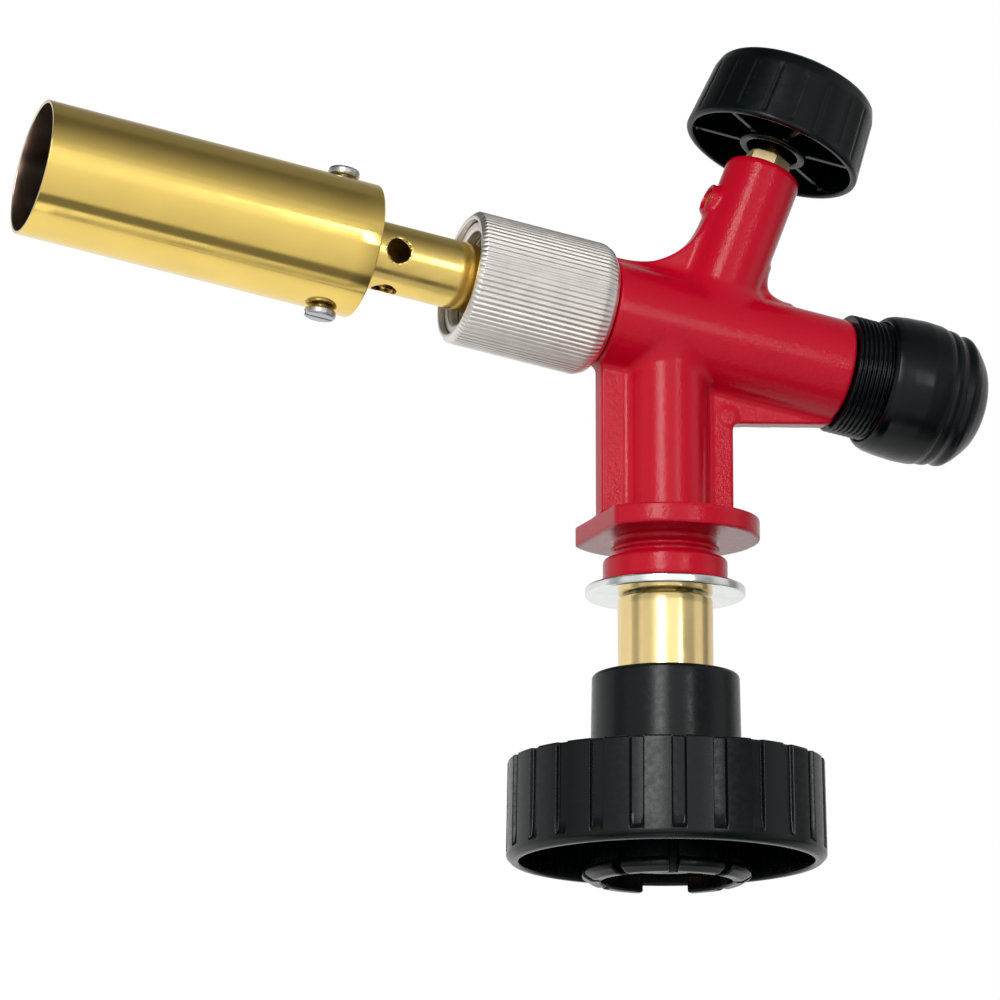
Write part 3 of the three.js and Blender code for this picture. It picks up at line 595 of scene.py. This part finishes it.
def make_handwheel():
    low, hub_top, radius = span("handwheel")
    disc_top, rim = 10.8, -7.4
    top_radius, inside, under = 29.1, 27.1, 8.4
    lip = rim + 1.2
    profile = path(
        (9.1, low, 0.3), (11.2, low, 0.4), (11.2, under, 0.8), (inside - 0.4, under, 1.2),
        (inside, rim - 0.6, 0.5), (28.4, rim - 0.5, 0.8), (radius - 0.02, rim + 0.5, 1.2),
        (radius - 0.02, lip, 0), (radius - 0.02, lip + 0.5, 0), (radius - 0.02, lip + 1, 0),
        (top_radius, disc_top - 1.0, 0), (top_radius, disc_top, 0.5), (15.2, disc_top, 0),
        (13.9, disc_top, 0.8), (13.6, hub_top, 0.9), (9.1, hub_top, 0.4))
    profile = even_rows(profile, 2.2)
    pitch = TURN / GROOVES

    def groove(r, z, a):
        off = np.abs((a - GROOVE_AT * DEG + pitch / 2) % pitch - pitch / 2) / DEG
        across = np.clip((GROOVE_HALF - off) / GROOVE_SLOPE, 0, 1)
        across = across * across * (3 - 2 * across)
        outer = np.clip((r - 27.6) / 0.3, 0, 1)
        from_lip = np.clip((z - lip) / 1.2, 0, 1)
        return -GROOVE_DEPTH * across * outer * from_lip

    return piece("handwheel", revolve(profile, wheel_angles(), groove), sharp=30)


def make_snap_ring():
    low, high, reach = span("snap_ring")
    hook = path(
        (12.1, low, 0.3), (13.9, low, 0.2), (15.5, low + 1, 0.4), (15.5, low + 2.35, 0.3),
        (13.9, low + 2.35, 0.2), (13.9, high, 0.3), (12.1, high, 0.3))
    tabs, tab, slot, slot_top = 8, 35 * DEG, 6.7 * DEG, -3
    front, back, gap = -105.5 * DEG, 70.8 * DEG, 39 * DEG
    cuts = [(back, gap)]
    cuts += [(front + (i - tabs / 2) * (tab + slot), slot) for i in range(1, tabs)]

    def ring(x, y, z):
        radius = np.hypot(x, y)
        form = inside_outline(radius, z, hook)
        for at, wide in cuts:
            along = x * math.cos(at) + y * math.sin(at)
            across = np.abs(-x * math.sin(at) + y * math.cos(at))
            wedge = across * math.cos(wide / 2) - along * math.sin(wide / 2)
            wedge = np.maximum(wedge, z - slot_top)
            if wide == slot:  # blind: a thin wall stays on the inside
                wedge = np.maximum(wedge, 12.6 - radius)
            form = without(form, wedge, 0.3)
        return form

    return piece("snap_ring", sculpt(ring, (-reach, -reach, low), (reach, reach, high), 0.3), sharp=45)


# Valve
def make_gland_nut():
    low, high, _ = span("gland_nut", VALVE)
    half, seat = 3.9, 35.9

    def nut(x, y, z):
        hexagon = np.maximum(np.abs(x), np.maximum(
            np.abs(x * 0.5 + y * math.sqrt(0.75)), np.abs(x * 0.5 - y * math.sqrt(0.75)))) - half
        head = rounded(hexagon, np.abs(z - (seat + high) / 2) - (high - seat) / 2, 0.12)
        cone = (np.hypot(x, y) - 4.25 + (z - high) * 0.6) / 1.17
        head = common(head, cone, 0.1)
        form = union(head, round_bar(x, y, z, 3.7, low, 36.5, 0.2), 0.1)
        return without(form, round_bar(x, y, z, 2.3, low - 2, high + 2, 0.1), 0.25)

    return piece("gland_nut", sculpt(nut, (-4.6, -4.6, low), (4.6, 4.6, high), 0.15), VALVE, sharp=40)


KNOB_GROOVES = 20
KNOB_GROOVE_DEPTH = 0.13
KNOB_GROOVE_AT = 2.3  # from the direction that faces the camera


def make_knob():
    low, high, _ = span("control_knob", VALVE)
    wall, roof = 1.3, 2
    cup = path(
        (-3, high), (12.4, high, 2.5), (15.2, high - 1.3, 1.6), (15.9, high - 3.6, 3),
        (17, low, 0.6), (17 - wall, low, 0.3), (15.9 - wall, high - roof, 0.8), (-3, high - roof),
        step=12)
    back = VALVE.to_3x3().transposed() @ camera_back()
    phase = math.atan2(back.y, back.x) + KNOB_GROOVE_AT * DEG
    pitch = TURN / KNOB_GROOVES
    rib_pitch = TURN / 6
    hub_low, hub_top = low + 0.5, high - roof / 2

    def knob(x, y, z):
        radius, angle = np.hypot(x, y), np.arctan2(y, x)
        off = np.abs((angle - phase + pitch / 2) % pitch - pitch / 2) * radius
        fade = np.clip((z - low - 1.1) / 0.5, 0, 1)
        top = np.clip((high - 3.2 - z) / 2, 0, 1)
        slant = (z - low) / (high - low)
        cut = np.clip((0.6 - off) / 0.5, 0, 1) * KNOB_GROOVE_DEPTH * fade * top
        cut = cut * (radius > 16.35 - 1.1 * slant)
        form = inside_outline(radius + cut, z, cup)
        hub = round_bar(x, y, z, 6.5, hub_low, hub_top, 0.4)
        turn = angle % rib_pitch - rib_pitch / 2
        across = np.abs(radius * np.sin(turn)) - 0.5
        ribs = np.maximum(across, np.maximum(low + 1.5 - z, z - high + 1.6))
        ribs = np.maximum(ribs, np.maximum(radius - 15.9 + slant, 5.8 - radius))
        inner = union(hub, ribs, 0.4)
        form = union(form, inner, 0.4)
        form = without(form, round_bar(x, y, z, 5, low - 3, low + 4.2, 0.2), 0.3)
        return without(form, round_bar(x, y, z, 2.3, low, high - 4.4, 0.1))

    step = 0.22
    skin = sculpt(knob, (-17.1, -17.1, low), (17.1, 17.1, high), step)
    return piece("control_knob", skin, VALVE, sharp=40)


# Regulator
def make_bonnet():
    low, high, crest = span("regulator_bonnet", BARREL)
    shoulder = -35.3
    profile = path(
        (6.2, low, 0.3), (crest, low, 0.5), (crest, shoulder, 0.3), (7.2, shoulder, 0.1),
        (7.2, high, 0.2), (6.2, high, 0.1))
    profile = even_rows(profile, BONNET_PITCH / 9)
    cut = threaded(crest, low + 0.2, shoulder + 0.6, BONNET_PITCH, 0.5, False)
    return piece("regulator_bonnet", revolve(profile, 144, cut), BARREL, sharp=40)


def make_cap():
    end, lip, _ = span("adjuster_cap", BARREL)
    rise = [
        (0, 0, 0), (4, .3, 8), (6.4, .8, 8), (8.6, 1.8, 6), (10.1, 3, 5), (11.5, 4.3, 3),
        (12.45, 5.5, .8), (12.55, 6.2, .5), (12.15, 7.2, .5), (12.9, 8.5, .6), (13, 9.4, .4),
        (12.82, 10, .3), (13.15, 10.5, .4), (13.4, 11.4, 2), (13.55, 14.5, 6), (13.3, 18.2, 6),
        (13, 20.3, 2), (12.6, 21.4, .8), (12, lip - end, .25)]
    profile = path(
        *[(r, end + h, f) for r, h, f in rise], (11.55, lip, 0.1), (11.55, -58.8, 0.3),
        (4.5, -58.8, 0.3), (4.5, -54.9, 0.2), (0, -54.9))
    return piece("adjuster_cap", revolve(even_rows(profile, 1.5), 192), BARREL)


# Union nut and burner
KNURLS = 78
KNURL_DEPTH = 0.25


def make_union_nut():
    low, high, radius = span("union_nut", BARREL)
    profile = path(
        (9.3, low, 0.2), (radius - 2.1, low, 0.8), (radius - 0.7, low + 1, 1),
        (radius, low + 2.7, 1.6), (radius, high - 0.9, 0.2), (radius - 0.9, high, 0.25),
        (10.9, high, 0.25), (10.9, 37.4, 0.1), (8.9, 37.4, 0.1), (8.9, 32.2, 0.2),
        (6.75, 32.2, 0.15), (6.75, 29.6, 0.15), (9.3, 29.6))
    profile = even_rows(profile, 1.2)

    def knurl(r, z, a):
        tooth = 0.5 - 0.5 * np.cos(a * KNURLS)
        tooth = np.clip(tooth * 1.5 - 0.2, 0, 1)
        fade = np.clip((z - low - 0.7) / 1.8, 0, 1) * np.clip((high - 0.35 - z) / 0.6, 0, 1)
        outer = np.clip((r - radius + 1.6) / 0.8, 0, 1)
        return -KNURL_DEPTH * (1 - tooth) * fade * outer

    return piece("union_nut", revolve(profile, KNURLS * 8, knurl), BARREL, sharp=55)


def make_nut_ring():
    low, high, radius = span("nut_ring", BARREL)
    profile = path((8.9, low, 0.2), (radius, low, 0.2), (radius, high, 0.3), (8.9, high, 0.5))
    return piece("nut_ring", revolve(profile, 144), BARREL)


def make_mixing_tube():
    low, high, radius = span("mixing_tube", BARREL)

    def tube(x, y, z):
        form = round_bar(x, y, z, radius, low, high, 0.15)
        form = without(form, round_bar(x, y, z, 5.45, low - 5, high + 5, 0.1), 0.15)
        holes = np.minimum(np.hypot(x, z - 54.6), np.hypot(y, z - 54.6)) - 2.35
        return without(form, holes, 0.12)

    step = 0.22
    skin = sculpt(tube, (-radius, -radius, low), (radius, radius, high), step)
    return piece("mixing_tube", skin, BARREL, sharp=40)


def make_burner_head():
    low, high, radius = span("burner_head", BARREL)

    def head(x, y, z):
        form = round_bar(x, y, z, radius, low, high, 0.8)
        form = without(form, round_bar(x, y, z, 6.65, low - 5, 70.4, 0.1), 0.3)
        form = without(form, round_bar(x, y, z, 5, low - 5, high + 5, 0.1), 0.4)
        pitch = TURN / 12
        around = np.hypot(x, y)
        turn = np.arctan2(y, x) % pitch - pitch / 2
        port = np.hypot(around * np.cos(turn) - 8.9, around * np.sin(turn)) - 0.9
        return without(form, port, 0.2)

    skin = sculpt(head, (-radius, -radius, low), (radius, radius, high), 0.3)
    return piece("burner_head", skin, BARREL, sharp=45)


def make_flame_tube():
    low, high, radius = span("flame_tube", BARREL)
    inner = radius - 0.6
    profile = path((inner, low, 0.15), (radius, low, 0.35), (radius, high, 0.12), (inner, high, 0.12))
    return piece("flame_tube", revolve(even_rows(profile, 4), 256), BARREL)


SCREW_AT = 65.8


def make_screw(node, side):
    """A slotted round-head screw, modelled along its own axis and stood on the tube's side."""
    seat, head, tall = 12.8, 2.95, 1.6

    def screw(x, y, z):
        top = seat + tall
        form = round_bar(x, y, z, head, seat, top, 0.55)
        form = without(form, np.maximum(np.abs(y) - 0.4, top - 0.85 - z), 0.1)
        shank = round_bar(x, y, z, 1.3, top - 5, seat + 0.5, 0.1)
        return union(form, shank, 0.05)

    skin = sculpt(screw, (-3, -3, seat - 3.5), (3, 3, seat + 1.6), 0.12)
    sideways = Matrix.Rotation(side * math.pi / 2, 4, "Y")
    place = BARREL @ Matrix.Translation((0, 0, SCREW_AT * MM)) @ sideways
    return piece(node, skin, place, sharp=40)


# ------------------------------------------------------------------ camera and studio
VIEW_AZIMUTH, VIEW_ELEVATION = -19.27, -12.2
VIEW_DISTANCE, VIEW_LENS = 1.181, 232.0
VIEW_TARGET = Vector((-0.03228, 0, 0.05757))
SOFTBOX_DISTANCE = 1.2


def direction(azimuth, elevation):
    """From the object outwards; azimuth 0 is -Y, and 90 is +X."""
    a, e = azimuth * DEG, elevation * DEG
    return Vector((math.sin(a) * math.cos(e), -math.cos(a) * math.cos(e), math.sin(e)))


def camera_back():
    return direction(VIEW_AZIMUTH, VIEW_ELEVATION)


def make_camera():
    camera = bpy.data.objects.new("camera", bpy.data.cameras.new("camera"))
    camera.data.lens, camera.data.sensor_width = VIEW_LENS, 36
    camera.data.clip_start, camera.data.clip_end = 0.05, 20
    camera.location = VIEW_TARGET + camera_back() * VIEW_DISTANCE
    camera.rotation_mode = "QUATERNION"
    camera.rotation_quaternion = (-camera_back()).to_track_quat("-Z", "Y")
    bpy.context.scene.collection.objects.link(camera)
    bpy.context.scene.camera = camera


def softbox(name, azimuth, elevation, wide, tall, watts):
    light = bpy.data.objects.new(name, bpy.data.lights.new(name, "AREA"))
    light.data.shape = "RECTANGLE"
    light.data.size, light.data.size_y = wide, tall
    light.data.energy = watts
    light.location = VIEW_TARGET + direction(azimuth, elevation) * SOFTBOX_DISTANCE
    light.rotation_mode = "QUATERNION"
    light.rotation_quaternion = (-direction(azimuth, elevation)).to_track_quat("-Z", "Y")
    light.visible_camera = False
    bpy.context.scene.collection.objects.link(light)


# What the torch sees around it. FRONT and BACK are brightness by elevation in degrees. AROUND
# and OVERHEAD scale it by azimuth, low down and high up, and BEHIND is the share of BACK.
FRONT = [
    (-90, 1.25), (-75, 1.25), (-71, 0.22), (-58, 0.2), (-53, 0.75), (-30, 0.86), (-8, 1.0), (4, 1.2),
    (20, 1.25), (26, 0.85), (36, 0.55), (48, 0.38), (66, 0.16), (90, 0.12)]
BACK = [(-90, 1.1), (-10, 1.05), (20, 0.85), (35, 0.5), (50, 0.28), (90, 0.15)]
AROUND = [
    (-180, 0.95), (-116, 0.95), (-106, 0.4), (-92, 0.35), (-84, 0.7), (-56, 0.6), (-44, 1.0),
    (13, 0.97), (25, 0.35), (48, 0.3), (60, 0.6), (78, 0.6), (86, 0.25), (100, 0.25), (112, 0.7),
    (180, 0.95)]
OVERHEAD = [
    (-180, 0.5), (-150, 0.25), (-75, 0.3), (-45, 1), (10, 1), (30, 0.9), (140, 0.9), (180, 0.5)]
BEHIND = [(-180, 1), (-125, 1), (-100, 0), (85, 0), (110, 1), (180, 1)]
DIFFUSE_SHARE = 0.7
HIGH_FROM, HIGH_TO = 16 * DEG, 30 * DEG  # AROUND fades into OVERHEAD between these


def make_world():
    world = bpy.data.worlds.new("studio")
    world.use_nodes = True
    tree = world.node_tree
    tree.nodes.clear()
    new, link = tree.nodes.new, tree.links.new

    def maths(kind, *values):
        node = new("ShaderNodeMath")
        node.operation = kind
        for socket, value in zip(node.inputs, values):
            if isinstance(value, (int, float)):
                socket.default_value = value
            else:
                link(value, socket)
        return node.outputs[0]

    def curve(angle, stops, widest):
        share = maths("MULTIPLY_ADD", angle, 1 / (2 * widest * DEG), 0.5)
        ramp = new("ShaderNodeValToRGB")
        while len(ramp.color_ramp.elements) < len(stops):
            ramp.color_ramp.elements.new(0.5)
        for element, (at, glow) in zip(ramp.color_ramp.elements, stops):
            element.position = at / (2 * widest) + 0.5
            element.color = (glow, glow, glow, 1)
        link(share, ramp.inputs["Fac"])
        return ramp.outputs["Color"]

    place = new("ShaderNodeTexCoord")
    parts = new("ShaderNodeSeparateXYZ")
    link(place.outputs["Generated"], parts.inputs[0])
    elevation = maths("ARCSINE", parts.outputs["Z"])
    azimuth = maths("ARCTAN2", parts.outputs["X"], maths("MULTIPLY", parts.outputs["Y"], -1))
    front, back = curve(elevation, FRONT, 90), curve(elevation, BACK, 90)
    around, behind = curve(azimuth, AROUND, 180), curve(azimuth, BEHIND, 180)
    height = new("ShaderNodeMapRange")
    height.inputs["From Min"].default_value = HIGH_FROM
    height.inputs["From Max"].default_value = HIGH_TO
    link(elevation, height.inputs["Value"])
    high_up = height.outputs["Result"]
    low_down = maths("SUBTRACT", 1, high_up)
    around = maths("ADD", maths("MULTIPLY", around, low_down),
                   maths("MULTIPLY", curve(azimuth, OVERHEAD, 180), high_up))
    glow = maths("ADD", maths("MULTIPLY", back, behind),
                 maths("MULTIPLY", front, maths("SUBTRACT", 1, behind)))
    ray = new("ShaderNodeLightPath")
    dimmed = maths("MULTIPLY", ray.outputs["Is Diffuse Ray"], 1 - DIFFUSE_SHARE)
    share = maths("SUBTRACT", 1, dimmed)
    seen = new("ShaderNodeBackground")
    link(maths("MULTIPLY", maths("MULTIPLY", glow, around), share), seen.inputs["Strength"])
    paper = new("ShaderNodeBackground")
    paper.inputs["Color"].default_value = (1, 1, 1, 1)
    seen.inputs["Color"].default_value = (1, 1, 1, 1)
    mix = new("ShaderNodeMixShader")
    out = new("ShaderNodeOutputWorld")
    link(ray.outputs["Is Camera Ray"], mix.inputs["Fac"])
    link(seen.outputs[0], mix.inputs[1])
    link(paper.outputs[0], mix.inputs[2])
    link(mix.outputs[0], out.inputs["Surface"])
    bpy.context.scene.world = world


FLOOR_HEIGHT = -1.8  # low enough to look up at the torch from below
FLOOR_REACH = 30


def make_floor():
    """A plain floor that only the camera sees, so it neither lights nor colours the torch."""
    reach = FLOOR_REACH
    mesh = bpy.data.meshes.new("floor")
    corners = [(-reach, -reach, 0), (reach, -reach, 0), (reach, reach, 0), (-reach, reach, 0)]
    mesh.from_pydata(corners, [], [(0, 1, 2, 3)])
    floor = bpy.data.objects.new("floor", mesh)
    floor.location.z = FLOOR_HEIGHT
    bpy.context.scene.collection.objects.link(floor)
    mesh.materials.append(Finish(
        "pale_floor", (0.86, 0.86, 0.85), vary=0.01, blotch=3, rough=(0.6, 0.7), smear=8,
        Emission_Strength=0.42).material)
    floor.visible_glossy = False
    floor.visible_diffuse = False


# ------------------------------------------------------------------ assembly
for node, shown in frame["nodes"].items():
    shown.data.materials.clear()
    shown.data.materials.append(FINISHES[NODE_SLOT[node]].material)

make_casting()
make_port_plug()
make_stem()
make_sleeve()
make_threaded_ring()
make_washer()
make_handwheel()
make_snap_ring()
make_gland_nut()
make_knob()
make_bonnet()
make_cap()
make_union_nut()
make_nut_ring()
make_mixing_tube()
make_burner_head()
make_flame_tube()
make_screw("burner_screw_upper", 1)
make_screw("burner_screw_lower", -1)

make_camera()
make_world()
make_floor()
softbox("key", VIEW_AZIMUTH - 9.5, 23, wide=0.34, tall=0.8, watts=6)
softbox("fill", VIEW_AZIMUTH + 37, 7, wide=0.09, tall=0.36, watts=0.7)
bpy.context.scene.view_settings.view_transform = "Standard"
